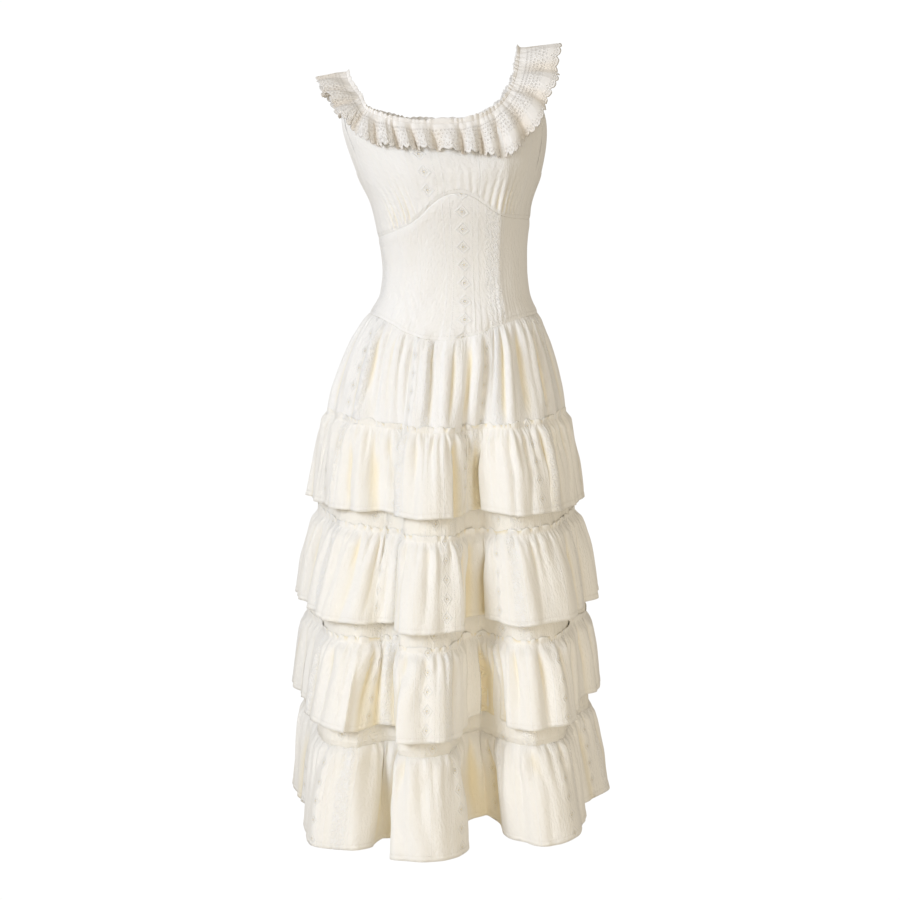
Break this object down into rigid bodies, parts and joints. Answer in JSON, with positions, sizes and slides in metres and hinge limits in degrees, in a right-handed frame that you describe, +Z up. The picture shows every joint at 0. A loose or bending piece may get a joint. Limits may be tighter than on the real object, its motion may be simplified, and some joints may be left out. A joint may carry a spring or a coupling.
{
  "type": "sleeveless dress",
  "caption": "Long sleeveless dress with a scoop neck ruffle, gathered bust, fitted midriff with a dipping waist seam and a skirt of gathered ruffle tiers.",
  "frame": {"origin": "midway between the two shoulder crests at the neck edge", "axes": "+Z up along the dress, the front faces -Y, +X is the side at the right of the picture"},
  "size_m": [0.5419, 0.595, 1.245],
  "materials": {
    "cream_cotton": "soft matt woven cotton",
    "eyelet_cotton": "matt cotton with eyelet embroidery",
    "pull_metal": "satin cream lacquer"
  },
  "bodies": {
    "root": {"bust_front": "cream_cotton", "bust_back_left": "cream_cotton", "bust_back_right": "cream_cotton", "midriff_front": "cream_cotton", "midriff_back_left": "cream_cotton", "midriff_back_right": "cream_cotton", "strap_left": "cream_cotton", "strap_right": "cream_cotton", "ruffle_front": "eyelet_cotton", "ruffle_back_left": "eyelet_cotton", "ruffle_back_right": "eyelet_cotton", "skirt_front": "cream_cotton", "skirt_back_left": "cream_cotton", "skirt_back_right": "cream_cotton", "under_skirt_back_right": "cream_cotton", "under_skirt_back_left": "cream_cotton", "under_skirt_front": "cream_cotton", "tier_1_front": "cream_cotton", "tier_1_back": "cream_cotton", "tier_2_front": "cream_cotton", "tier_2_back": "cream_cotton", "tier_3_front": "cream_cotton", "tier_3_back": "cream_cotton", "tier_4_front": "cream_cotton", "tier_4_back": "cream_cotton", "zip_pull": "pull_metal"}
  },
  "joints": []
}
